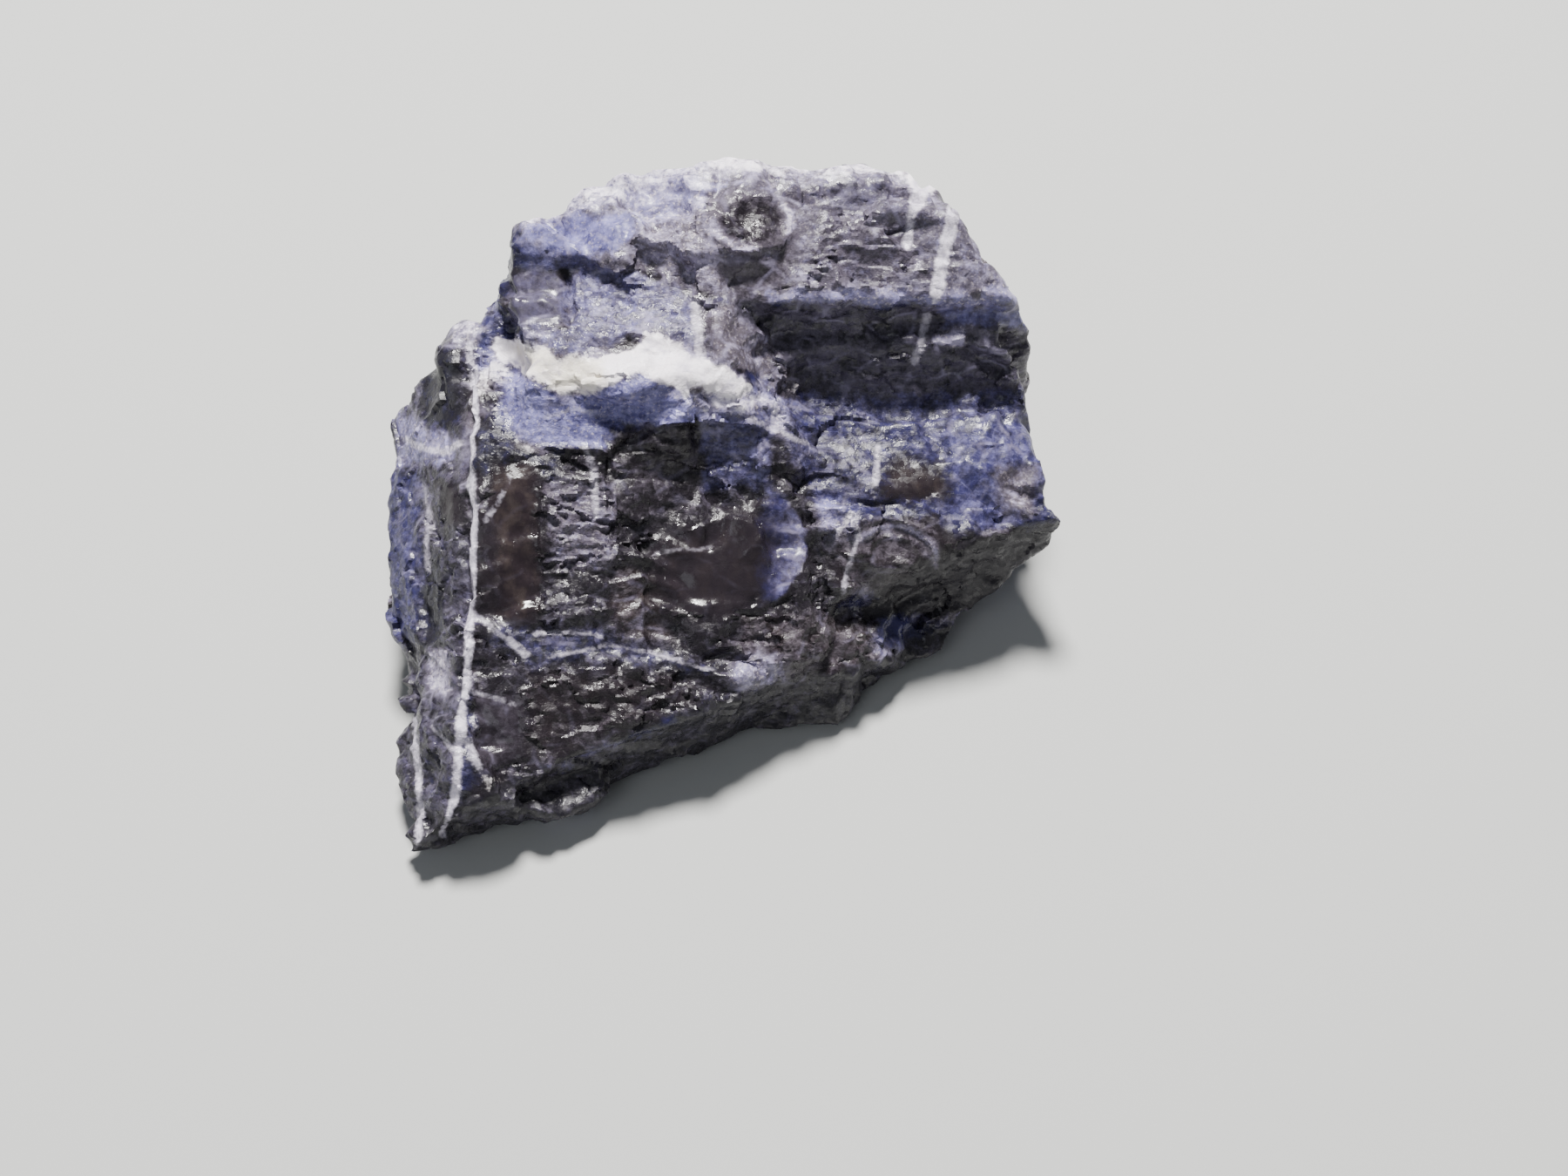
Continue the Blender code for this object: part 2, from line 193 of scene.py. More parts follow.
# Painted zones: outline in picture points, softness, then pale, blue, white, glass, warm and broken
ZONES = {
    "top_slope": (
        [(600, 270), (600, 250), (700, 212), (820, 178), (1065, 198), (1180, 345), (840, 348),
         (720, 300), (640, 310)],
        10, (0.55, 0.3, 0.05, 0.15, 0.15, 0.32)),
    # White crystal on the top bevel, lightened further as a painted highlight where the bevel faces the
    # light
    "bevel_white_and_highlight": (
        [(585, 262), (630, 215), (700, 185), (790, 164), (838, 164), (800, 212), (720, 232), (650, 248),
         (610, 268)],
        14, (0.78, 0.5, 0.5, 0.0, 0.0, 0.08)),
    "bevel_blue": (
        [(608, 262), (660, 250), (725, 245), (738, 265), (700, 290), (640, 292), (605, 280)],
        10, (0.58, 1.0, 0.16, 0.1, 0.0, 0.1)),
    "bevel_haze": (
        [(715, 220), (800, 195), (825, 215), (800, 262), (735, 265)],
        16, (0.84, 0.6, 0.4, 0.0, 0.0, 0.14)),
    # Painted highlight along the lit top rim; at the corner it also meets the white head of vein a
    "top_rim_highlight": (
        [(790, 164), (860, 160), (1070, 170), (1080, 205), (960, 205), (870, 199), (810, 203)],
        9, (0.85, 0.4, 0.6, 0.0, 0.0, 0.08)),
    "rim_corner_white_and_highlight": (
        [(1036, 192), (1070, 196), (1074, 224), (1044, 222)],
        6, (1.0, 0.1, 0.85, 0.0, 0.1, 0.12)),
    "ring_ground": (
        [(812, 232), (860, 218), (912, 232), (915, 290), (860, 296), (815, 280)],
        10, (0.36, 0.05, 0.0, 0.5, 0.4, 0.35)),
    "rough_left_of_ring": (
        [(735, 262), (800, 240), (830, 290), (830, 335), (760, 312), (715, 296)],
        12, (0.68, 0.15, 0.15, 0.05, 0.45, 0.55)),
    "top_dark": (
        [(948, 208), (1016, 206), (1020, 236), (962, 244)],
        10, (0.42, 0.35, 0.0, 0.3, 0.0, 0.3)),
    "top_strata": (
        [(928, 245), (1050, 250), (1075, 330), (930, 335)],
        12, (0.42, 0.28, 0.0, 0.2, 0.25, 0.5)),
    "striated_slope": (
        [(822, 300), (905, 292), (912, 345), (845, 346)],
        8, (0.38, 0.15, 0.0, 0.3, 0.4, 0.3)),
    # Painted highlight: a light lavender line along the lit edge of the ledge
    "ledge_edge_highlight": (
        [(880, 336), (1000, 334), (1120, 336), (1158, 322), (1188, 342), (1180, 358), (1000, 352),
         (885, 352)],
        8, (0.8, 0.6, 0.15, 0.0, 0.0, 0.25)),
    "notch_blue": (
        [(594, 272), (650, 296), (700, 300), (640, 315), (596, 308)],
        8, (0.44, 0.7, 0.0, 0.2, 0.0, 0.3)),
    "tier_facet": (
        [(582, 306), (648, 312), (648, 376), (585, 380)],
        5, (0.38, 0.4, 0.0, 0.6, 0.1, 0.1)),
    "tier_sugar": (
        [(648, 314), (690, 298), (790, 335), (808, 405), (755, 380), (700, 405), (648, 414), (583, 386),
         (590, 372), (648, 374)],
        8, (0.5, 0.55, 0.2, 0.0, 0.0, 0.5)),
    "tier_pink_facet": (
        [(812, 350), (850, 350), (888, 405), (878, 432), (820, 420)],
        6, (0.61, 0.08, 0.0, 0.4, 0.5, 0.2)),
    "blue_band": (
        [(588, 425), (647, 455), (690, 446), (735, 425), (790, 448), (870, 446), (915, 466), (905, 500),
         (870, 488), (800, 476), (700, 522), (640, 518), (600, 512), (572, 470)],
        10, (0.62, 0.95, 0.24, 0.05, 0.0, 0.55)),
    "band_haze": (
        [(780, 452), (870, 446), (925, 478), (965, 500), (940, 522), (880, 500), (820, 482)],
        12, (1.0, 0.4, 0.5, 0.0, 0.0, 0.5)),
    "main_face": (
        [(548, 512), (700, 522), (900, 502), (930, 560), (965, 690), (900, 775), (600, 885), (548, 885)],
        16, (0.12, 0.2, 0.0, 0.3, 0.3, 0.56)),
    "above_window": (
        [(546, 480), (572, 500), (600, 516), (640, 524), (640, 546), (560, 550), (546, 535)],
        8, (-0.3, 0.4, 0.0, 0.0, 0.1, 0.8)),
    "dark_top_block": (
        [(698, 490), (800, 484), (802, 590), (702, 592)],
        8, (0.19, 0.08, 0.0, 0.35, 0.4, 0.45)),
    "dark_blue_block": (
        [(806, 472), (882, 474), (884, 560), (808, 566)],
        8, (0.4, 0.6, 0.0, 0.3, 0.1, 0.45)),
    "brown_window": (
        [(572, 534), (617, 536), (618, 719), (590, 724), (562, 704), (558, 620)],
        12, (-0.12, 0.0, 0.0, 0.95, 0.8, 0.06)),
    "brown_window_left": (
        [(546, 590), (570, 585), (572, 705), (548, 700)],
        12, (0.05, 0.1, 0.0, 0.75, 0.5, 0.15)),
    "low_window": (
        [(545, 790), (602, 798), (604, 868), (562, 882), (546, 860)],
        7, (0.2, 0.1, 0.0, 0.85, 0.4, 0.08)),
    "glint_patch": (
        [(625, 558), (702, 556), (708, 648), (640, 654)],
        8, (0.52, 0.3, 0.0, 0.25, 0.3, 0.85)),
    "glint_patch_low": (
        [(626, 680), (690, 676), (700, 722), (630, 722)],
        8, (0.14, 0.25, 0.0, 0.2, 0.3, 0.85)),
    "tan_grain": (
        [(700, 655), (755, 650), (770, 735), (712, 742)],
        10, (0.26, 0.05, 0.05, 0.05, 0.7, 0.65)),
    "red_window": (
        [(746, 634), (777, 608), (865, 588), (898, 602), (900, 672), (850, 702), (790, 712), (750, 690)],
        22, (-0.36, 0.06, 0.0, 0.95, 0.52, 0.05)),
    "pink_shell": (
        [(850, 705), (1002, 702), (1004, 770), (900, 788), (848, 792)],
        10, (0.24, 0.12, 0.0, 0.15, 0.6, 0.6)),
    "bright_crystal": (
        [(833, 760), (866, 748), (899, 760), (902, 792), (842, 802)],
        14, (0.72, 0.4, 0.3, 0.2, 0.0, 0.35)),
    "hackly_low": (
        [(600, 764), (800, 770), (790, 810), (640, 872), (604, 872)],
        12, (0.08, 0.12, 0.0, 0.25, 0.5, 0.65)),
    "step_top": (
        [(900, 468), (1185, 465), (1215, 600), (1120, 616), (1060, 602), (1000, 592), (922, 545)],
        14, (0.18, 0.55, 0.0, 0.1, 0.1, 0.35)),
    "step_right": (
        [(1088, 488), (1182, 478), (1208, 560), (1150, 602), (1092, 592)],
        16, (0.31, 0.66, 0.1, 0.05, 0.0, 0.22)),
    "step_haze": (
        [(930, 500), (1000, 498), (1004, 575), (935, 560)],
        16, (0.26, 0.45, 0.15, 0.0, 0.1, 0.3)),
    "step_window": (
        [(1012, 530), (1083, 535), (1088, 572), (1016, 574)],
        16, (-0.2, 0.2, 0.0, 0.6, 0.7, 0.08)),
    "tan_patch": (
        [(1148, 538), (1182, 538), (1186, 588), (1154, 584)],
        14, (0.62, 0.1, 0.1, 0.1, 0.5, 0.2)),
    "shell_ring_ground": (
        [(985, 598), (1076, 598), (1086, 648), (1022, 692), (978, 664)],
        8, (0.22, 0.15, 0.05, 0.2, 0.5, 0.35)),
    # Painted shade: the face under the overhang is darkened where it lies in shade
    "overhang_painted_shade": (
        [(1216, 604), (1122, 618), (1080, 635), (1002, 690), (1000, 706), (1120, 702), (1195, 645)],
        8, (-0.4, 0.0, 0.0, 0.0, 0.2, 0.3)),
    "recess": (
        [(842, 348), (1072, 352), (1180, 352), (1182, 446), (1102, 458), (950, 462), (915, 436),
         (888, 402)],
        7, (0.36, 0.1, 0.0, 0.25, 0.0, 0.28)),
    "recess_blue": (
        [(1076, 352), (1180, 354), (1178, 376), (1120, 370), (1084, 378)],
        10, (0.46, 0.8, 0.0, 0.2, 0.0, 0.2)),
    "recess_glint": (
        [(1076, 392), (1096, 378), (1114, 376), (1108, 388), (1086, 398)],
        6, (1.0, 0.2, 0.3, 0.1, 0.1, 0.25)),
    "recess_floor": (
        [(915, 452), (1100, 450), (1184, 440), (1186, 482), (1000, 484), (925, 474)],
        8, (0.3, 0.55, 0.0, 0.0, 0.0, 0.35)),
    "left_face": (
        [(440, 560), (455, 440), (500, 380), (538, 392), (534, 870), (500, 960), (455, 985), (440, 700)],
        10, (0.25, 0.32, 0.05, 0.25, 0.1, 0.45)),
    "left_edge_lavender": (
        [(440, 540), (480, 540), (484, 740), (440, 740)],
        12, (0.23, 0.6, 0.1, 0.0, 0.0, 0.35)),
    "left_dark_top": (
        [(488, 398), (522, 404), (518, 490), (488, 494)],
        8, (-0.25, 0.3, 0.0, 0.3, 0.0, 0.25)),
    "left_dark_middle": (
        [(505, 555), (532, 552), (532, 604), (508, 606)],
        6, (-0.4, 0.05, 0.0, 0.1, 0.5, 0.15)),
    "left_dark_low": (
        [(488, 636), (506, 636), (506, 745), (490, 745)],
        6, (-0.18, 0.3, 0.0, 0.2, 0.0, 0.35)),
    "left_network": (
        [(456, 474), (520, 500), (524, 530), (456, 536)],
        8, (0.69, 0.6, 0.2, 0.0, 0.0, 0.35)),
    "left_patch": (
        [(492, 748), (520, 748), (520, 792), (496, 796)],
        6, (0.78, 0.2, 0.35, 0.0, 0.2, 0.3)),
    "left_knob": (
        [(512, 362), (552, 362), (550, 398), (516, 398)],
        8, (0.75, 0.35, 0.4, 0.0, 0.0, 0.25)),
    "low_haze": (
        [(556, 712), (620, 718), (700, 722), (780, 752), (832, 770), (790, 776), (700, 757), (612, 768),
         (568, 742)],
        16, (0.2, 0.45, 0.0, 0.2, 0.0, 0.25)),
    "front_wall": (
        [(470, 950), (560, 905), (640, 880), (740, 842), (840, 795), (950, 775), (1040, 742),
         (1130, 700), (1190, 660), (1140, 780), (900, 885), (760, 960), (482, 1015)],
        8, (0.12, 0.2, 0.0, 0.1, 0.1, 0.3)),
}

# Bands that run through the whole stone: outline, softness and tones as above
BANDS = {
    "white_band": (
        [(560, 384), (600, 392), (647, 414), (703, 405), (755, 380), (790, 402), (825, 420), (868, 440),
         (863, 448), (837, 458), (803, 452), (768, 440), (733, 424), (681, 446), (647, 455), (600, 430),
         (570, 412)],
        7, (1.0, 0.15, 0.96, 0.0, 0.05, 0.32)),
}

# Cream patch: outline and softness
CREAM = ([(590, 396), (660, 412), (690, 412), (690, 442), (640, 452), (600, 424)], 10)

# Veins: path in picture points and half width, both in picture points, then strength
VEINS = {
    "left_vein": ([(538, 372), (541, 430), (544, 520), (541, 640), (539, 723), (536, 777), (529, 830),
                   (524, 905), (508, 960)], 5.8, 1.0),
    "edge_vein": ([(474, 820), (480, 880), (481, 970)], 4.0, 0.9),
    "diagonal": ([(492, 831), (513, 851), (527, 872), (521, 905)], 2.4, 0.55),
    "foot_patch": ([(534, 846), (544, 868), (552, 888)], 4.2, 0.7),
    "vein_a": ([(1060, 206), (1053, 228), (1046, 247), (1041, 286)], 5.5, 1.0),
    "vein_a_head": ([(1062, 192), (1057, 215), (1052, 238)], 11.0, 1.0),
    "vein_b": ([(1096, 232), (1089, 268), (1083, 292), (1078, 320), (1073, 346)], 8.4, 1.0),
    "vein_b_low": ([(1066, 356), (1060, 385), (1048, 420)], 5.0, 0.5),
    "tier_vein": ([(797, 342), (801, 380), (806, 420)], 6.0, 0.75),
    "step_vein": ([(1008, 508), (1006, 540), (1003, 574)], 3.6, 0.7),
    "shell_vein": ([(986, 606), (977, 644), (966, 684)], 3.2, 0.75),
    "window_line": ([(586, 540), (582, 556), (570, 580), (554, 602)], 2.8, 0.55),
    "pale_line": ([(668, 505), (682, 540), (684, 600)], 4.0, 0.5),
    "low_left": ([(545, 702), (571, 727), (596, 744), (612, 756)], 2.4, 0.7),
    "low_bright": ([(580, 732), (598, 746), (606, 754)], 4.0, 0.75),
    "low_upper": ([(608, 728), (650, 726), (682, 728), (697, 735)], 1.6, 0.6),
    "low_lower": ([(612, 756), (662, 749), (697, 740), (745, 748), (786, 762), (830, 770)], 1.6, 0.6),
    "faint_line": ([(540, 793), (571, 802), (598, 811)], 1.8, 0.6),
    "window_ledge": ([(746, 636), (780, 630), (800, 631), (822, 627)], 1.2, 0.3),
    "left_line": ([(459, 500), (480, 512), (510, 520), (530, 505)], 4.0, 0.7),
    "left_line_low": ([(484, 548), (490, 600), (486, 660)], 3.0, 0.45),
    "blue_line": ([(620, 480), (660, 470), (700, 478)], 3.0, 0.3),
    "band_line": ([(856, 478), (880, 490), (910, 502), (928, 512)], 3.4, 0.6),
}

# Share of a vein's strength that is left where its sheet comes out on the hidden sides
THROUGH = {"left_vein": 0.6, "vein_b": 0.7, "vein_a": 0.5}

# Lips catch the light above them and drops shade below them: path in picture points, then height and
# reach in millimetres. Grooves have a depth in place of the height
LIPS = {
    "step_lip": ([(916, 476), (1000, 486), (1100, 480), (1176, 474)], 0.25, 1.6),
    "recess_ledge": ([(1072, 392), (1092, 382), (1114, 378)], 0.6, 1.0),
    "recess_ledge_low": ([(960, 420), (1000, 428), (1052, 418)], 0.35, 0.9),
    "window_lip": ([(746, 634), (780, 631), (820, 628)], 0.1, 0.8),
    "red_lip": ([(777, 608), (820, 596), (866, 590)], 0.18, 0.8),
    "glint_1": ([(630, 566), (655, 560), (668, 556)], 0.35, 0.7),
    "glint_2": ([(628, 588), (650, 584), (690, 590)], 0.3, 0.6),
    "glint_3": ([(640, 604), (670, 598), (704, 604)], 0.4, 0.8),
    "glint_4": ([(636, 622), (660, 618), (700, 622)], 0.35, 0.7),
    "glint_5": ([(645, 642), (668, 636), (694, 640)], 0.35, 0.7),
    "glint_6": ([(628, 690), (650, 686), (684, 684)], 0.2, 0.6),
    "glint_7": ([(632, 706), (660, 702), (688, 706)], 0.2, 0.6),
    "low_ridge": ([(735, 806), (765, 794), (800, 780)], 0.28, 0.9),
    "low_ledge_1": ([(612, 790), (650, 784), (700, 790)], 0.2, 0.7),
    "low_ledge_2": ([(620, 815), (665, 808), (720, 806)], 0.2, 0.7),
    "low_ledge_3": ([(640, 846), (668, 836), (696, 832)], 0.3, 0.9),
    "strata_1": ([(936, 262), (970, 258), (1000, 264)], 0.3, 0.7),
    "strata_2": ([(944, 282), (980, 276), (1034, 286)], 0.25, 0.8),
    "strata_3": ([(930, 306), (975, 302), (1036, 310)], 0.25, 0.7),
    "strata_4": ([(940, 326), (990, 322), (1060, 328)], 0.2, 0.6),
    "crystal_lip": ([(838, 764), (868, 752), (898, 762)], 0.4, 0.9),
    "block_lip": ([(702, 520), (740, 516), (790, 522)], 0.22, 0.7),
    "block_lip_low": ([(704, 552), (745, 548), (796, 556)], 0.22, 0.7),
}
DROPS = {
    "band_foot": ([(600, 516), (640, 522), (700, 524), (740, 486), (800, 480), (850, 486),
                   (905, 508)], 0.55, 1.8),
    "ring_slit": ([(822, 286), (850, 290), (876, 292)], 0.4, 0.7),
    "dark_block_left": ([(698, 590), (696, 540), (694, 490)], 0.4, 1.2),
    "window_right": ([(618, 535), (620, 620), (618, 720)], 0.35, 1.2),
    "glint_right": ([(700, 556), (706, 600), (702, 648)], 0.45, 1.2),
    "crescent_step": ([(880, 556), (914, 584), (922, 630), (906, 684)], 0.12, 0.7),
    "shell_arc": ([(986, 606), (1018, 598), (1052, 612), (1078, 642)], 0.4, 1.2),
    "tier_edge": ([(812, 350), (816, 380), (820, 424)], 0.3, 1.0),
}
GROOVES = {
    "left_groove": ([(533, 372), (535, 430), (537, 520), (534, 640), (532, 723), (528, 777),
                     (521, 830)], 0.45, 0.28),
    "facet_groove": ([(651, 308), (652, 345), (650, 380)], 0.8, 0.35),
    "left_edge_groove": ([(487, 540), (489, 640), (488, 745)], 0.35, 0.5),
    "crack": ([(884, 520), (900, 548), (930, 566), (970, 574), (1005, 580), (1050, 584)], 0.35, 0.35),
    "crack_low": ([(800, 770), (840, 742), (850, 700)], 0.3, 0.4),
}

# Ringed shells: middle and radii in picture points, then height in millimetres
RINGS = {
    "eye_outer": ((862, 256), (43, 30), 0.2),
    "eye_inner": ((858, 254), (22, 15), 0.05),
    "shell_ring": ((1030, 628), (44, 27), 0.22),
    "shell_ring_inner": ((1026, 632), (28, 16), 0.16),
}

# Arcs: middle and radii, then where the band starts, is full, is still full and ends, as shares of
# the radii, then tones as above and bearings in degrees, from right through down
ARCS = {
    # Blue crystal with a painted glow of light through it, rising towards its rim
    "crescent": (
        (846, 626), (71, 71), (0.02, 1.05, 1.05, 1.14),
        (0.34, 0.72, 0.0, 0.5, 0.45, 0.05), (-58, 62)),
    # Painted highlight on the lit rim of the crescent
    "crescent_rim_highlight": (
        (846, 626), (72, 72), (0.7, 1.04, 1.04, 1.12),
        (0.54, 0.5, 0.0, 0.3, 0.0, 0.1), (-35, 45)),
    "eye_dark": (
        (862, 254), (38, 27), (-0.1, 0.0, 0.75, 1.0),
        (0.12, 0.05, 0.0, 0.4, 0.4, 0.5), (0, 360)),
    # Painted glints on the lower left and the right of the eye's rim
    "eye_low_glints": (
        (862, 256), (43, 30), (0.7, 1.0, 1.02, 1.25),
        (0.95, 0.1, 0.35, 0.0, 0.3, 0.5), (80, 190)),
    "eye_right_glints": (
        (862, 254), (45, 32), (0.86, 1.0, 1.02, 1.15),
        (1.0, 0.1, 0.5, 0.0, 0.3, 0.4), (-45, 30)),
    "shell_rim": (
        (1026, 640), (48, 36), (0.8, 0.95, 1.0, 1.15),
        (0.75, 0.3, 0.05, 0.1, 0.2, 0.3), (-150, 20)),
}

# Small shifts of the outline, all in picture points: middle, reach, shift across and down
NUDGES = {
    "bevel_top": ((690, 225), (130, 45), (-2, -9)),
    "front_tip": ((474, 930), (34, 90), (-13, 2)),
    "left_knob_in": ((453, 806), (22, 28), (26, 0)),
    "left_above_tip": ((462, 860), (22, 40), (-5, 0)),
    "nose_under": ((1195, 640), (34, 26), (9, 3)),
    "tier_left": ((590, 330), (20, 40), (-5, -2)),
    "slab_top": ((530, 372), (40, 20), (-4, -5)),
    "rim_right": ((985, 198), (110, 22), (0, -8)),
    "bevel_left": ((620, 262), (30, 20), (-3, -8)),
    "left_shoulder": ((474, 440), (30, 60), (-9, -4)),
}


def smooth_step(low, high, value):
    """Rises smoothly from 0 at low to 1 at high, or falls where low is the larger."""
    part = np.clip((value - low) / (high - low), 0.0, 1.0)
    return part * part * (3.0 - 2.0 * part)


def picture_points(places):
    """Where each place falls in the picture."""
    offset = places - CAMERA_AIM
    depth = CAMERA_DISTANCE - offset @ BACK
    across = PICTURE[0] / 2 + POINTS_PER_SLOPE * (offset @ RIGHT) / depth
    down = PICTURE[1] / 2 - POINTS_PER_SLOPE * (offset @ UP) / depth
    return np.stack((across, down), axis=1)


def along_path(points, path):
    """Distance to a path, the side (above 0 on the right hand of travel) and the share of it passed."""
    path = np.array(path, dtype=float)
    best = np.full(len(points), np.inf)
    side = np.zeros(len(points))
    part = np.zeros(len(points))
    steps = np.linalg.norm(np.diff(path, axis=0), axis=1)
    passed = np.concatenate(([0.0], np.cumsum(steps))) / steps.sum()
    for index, (start, end) in enumerate(zip(path[:-1], path[1:])):
        run = end - start
        offset = points - start
        share = np.clip(offset @ run / (run @ run), 0.0, 1.0)
        gap = np.linalg.norm(offset - share[:, None] * run, axis=1)
        nearer = gap < best
        best = np.where(nearer, gap, best)
        turn = run[0] * offset[:, 1] - run[1] * offset[:, 0]
        side = np.where(nearer, np.sign(turn), side)
        part = np.where(nearer, passed[index] + share * (passed[index + 1] - passed[index]), part)
    return best, side, part


def end_taper(part, share):
    """Rises from 0 at both ends of a path to 1 over a share of its length."""
    return smooth_step(0.0, share, part) * smooth_step(0.0, share, 1.0 - part)


def depth_inside(points, outline):
    """How far each point is inside an outline, in picture points; below 0 outside."""
    gap, _, _ = along_path(points, outline + outline[:1])
    inside = np.zeros(len(points), dtype=bool)
    across, down = points[:, 0], points[:, 1]
    for (x0, y0), (x1, y1) in zip(outline, outline[1:] + outline[:1]):
        crosses = (y0 > down) != (y1 > down)
        if y0 != y1:
            at = x0 + (down - y0) / (y1 - y0) * (x1 - x0)
            inside ^= crosses & (across < at)
    return np.where(inside, gap, -gap)


def soft_noise(places, name):
    """One of the smooth noises, from about -1 to 1, at each place."""
    size, start, octaves = NOISES[name]
    shift = Vector(start)
    spots = [Vector(place) / size + shift for place in places]
    if octaves == 1:
        return np.array([noise.noise(spot) for spot in spots])
    return np.array([noise.fractal(spot, OCTAVE_LOSS, OCTAVE_STEP, octaves) for spot in spots])


def wobble(places, name, sizes):
    """A smooth noise and its fine one, each times its own size."""
    return soft_noise(places, name) * sizes[0] + soft_noise(places, name + "_fine") * sizes[1]


def own_lean(seed):
    """Which way the cell around a seed leans, from -1 to 1 along each axis."""
    return (noise.cell_vector(seed * CHIP_VARIETY) - Vector(HALF)) * 2.0


def chips(places, cell, stretch, start, slope, rise):
    """Heights of flat chips: each leans its own way, up to the slope, and stands up, up to the rise."""
    shift = Vector(start)
    scaled = places / (cell * np.array(stretch))
    heights = np.empty(len(places))
    for index, place in enumerate(scaled):
        spot = Vector(place) + shift
        _, seeds = noise.voronoi(spot)
        lean = own_lean(seeds[0])
        heights[index] = slope * cell * lean.dot(spot - seeds[0]) + rise * lean.x
    return heights


def scoops(places, cell, stretch, start, slope, rise, hollow):
    """Heights of shallow hollows that meet in sharp ridges, each leaning its own way."""
    shift = Vector(start)
    scaled = places / (cell * np.array(stretch))
    heights = np.empty(len(places))
    for index, place in enumerate(scaled):
        spot = Vector(place) + shift
        _, seeds = noise.voronoi(spot)
        lowest = math.inf
        for seed in seeds:
            lean = own_lean(seed)
            offset = spot - seed
            height = slope * cell * lean.dot(offset) + rise * lean.x + hollow * cell * offset.length_squared
            lowest = min(lowest, height)
        heights[index] = lowest
    return heights - np.mean(heights)


def ledges(places):
    """Small ledges up the picture, each rising slowly and falling sharply, for a height of one."""
    return (places @ UP / LEDGE_SPACING + wobble(places, "ledges", LEDGE_WANDER)) % 1.0 - 0.5


def apply_modifiers(node):
    """Takes the node's modifiers into its mesh."""
    graph = bpy.context.evaluated_depsgraph_get()
    mesh = bpy.data.meshes.new_from_object(node.evaluated_get(graph))
    node.modifiers.clear()
    old = node.data
    node.data = mesh
    bpy.data.meshes.remove(old)


def fine_copy(node):
    """A copy of the stone with small even faces."""
    mesh = node.data.copy()
    mesh.transform(node.matrix_world)
    made = bpy.data.objects.new("stone_surface", mesh)
    bpy.context.scene.collection.objects.link(made)
    grain = made.modifiers.new("fine_grain", "REMESH")
    grain.mode = "VOXEL"
    grain.voxel_size = GRAIN_VOXEL * MM
    apply_modifiers(made)
    return made


def fewer_triangles(stone):
    """Merges faces where the surface is flat, until the stone is light enough."""
    triangles = 2 * len(stone.data.polygons)
    fewer = stone.modifiers.new("fewer_triangles", "DECIMATE")
    fewer.ratio = min(1.0, MOST_TRIANGLES / triangles)
    apply_modifiers(stone)


def read_places(mesh):
    places = np.empty(len(mesh.vertices) * 3)
    mesh.vertices.foreach_get("co", places)
    return places.reshape(-1, 3) / MM


def write_places(mesh, places):
    mesh.vertices.foreach_set("co", (places * MM).ravel())
    mesh.update()


def inside_box(places, box):
    """Keeps every place a hair inside the part's own box."""
    low = np.array(box[0]) / MM + BOX_MARGIN
    high = np.array(box[1]) / MM - BOX_MARGIN
    return np.clip(places, low, high)


def read_normals(mesh):
    normals = np.empty(len(mesh.vertices) * 3)
    mesh.vertex_normals.foreach_get("vector", normals)
    return normals.reshape(-1, 3)


def read_edges(mesh):
    edges = np.empty(len(mesh.edges) * 2, dtype=np.int64)
    mesh.edges.foreach_get("vertices", edges)
    return edges.reshape(-1, 2)


def spread(values, edges, rounds, share=0.5):
    """Averages values over neighbouring vertices, or sharpens them where the share is below 0."""
    count = len(values)
    ends = np.concatenate((edges[:, 0], edges[:, 1]))
    others = np.concatenate((edges[:, 1], edges[:, 0]))
    degree = np.bincount(ends, minlength=count).astype(float)
    columns = values.reshape(count, -1).copy()
    for _ in range(rounds):
        for axis in range(columns.shape[1]):
            mean = np.bincount(ends, weights=columns[others, axis], minlength=count) / degree
            columns[:, axis] += share * (mean - columns[:, axis])
    return columns.reshape(values.shape)


def seen_by_camera(mesh, places, normals):
    """1 where the camera sees the surface, 0 where it doesn't."""
    eye = CAMERA_AIM + BACK * CAMERA_DISTANCE
    polygons = [polygon.vertices[:] for polygon in mesh.polygons]
    tree = BVHTree.FromPolygons([Vector(place) for place in places], polygons)
    seen = np.zeros(len(places))
    for index, place in enumerate(places):
        start = Vector(place + normals[index] * SIGHT_CLEARANCE)
        way = (Vector(eye) - start).normalized()
        hit = tree.ray_cast(start, way)
        seen[index] = 1.0 if hit[0] is None else 0.0
    return seen


def path_height(points, path, height, reach, kind):
    """Relief of one lip, drop or groove, in millimetres."""
    gap, side, part = along_path(points, path)
    gap = gap / POINTS_PER_MM
    taper = end_taper(part, LINE_TAPER)
    if kind == "groove":
        return -height * np.exp(-((gap / reach) ** 2)) * taper
    wanted = side if kind == "lip" else -side
    rise = np.where(wanted > 0, np.exp(-gap / reach) * smooth_step(*LIP_RISE, gap), 0.0)
    return height * rise * taper


def share_of_radii(points, centre, radii):
    """Distance from a centre, as a share of the radii."""
    return np.linalg.norm((points - centre) / radii, axis=1)


def drawn_relief(points):
    """Relief of the ledges, cracks and shells that the picture shows."""
    total = np.zeros(len(points))
    for kind, group in (("lip", LIPS), ("drop", DROPS), ("groove", GROOVES)):
        for path, height, reach in group.values():
            total += path_height(points, path, height, reach, kind)
    for centre, radii, height in RINGS.values():
        away = share_of_radii(points, centre, radii)
        total += height * np.clip(1.0 - np.abs(away - 1.0) / RING_WIDTH, 0.0, 1.0)
        total -= BOWL_DEPTH * height * np.exp(-((away / BOWL_REACH) ** 2))
    return total


def near_rings(points):
    """1 inside the ringed shells, falling to 0 around them."""
    nearest = np.zeros(len(points))
    for centre, radii, _ in RINGS.values():
        nearest = np.maximum(nearest, smooth_step(*RING_NEAR, share_of_radii(points, centre, radii)))
    return nearest


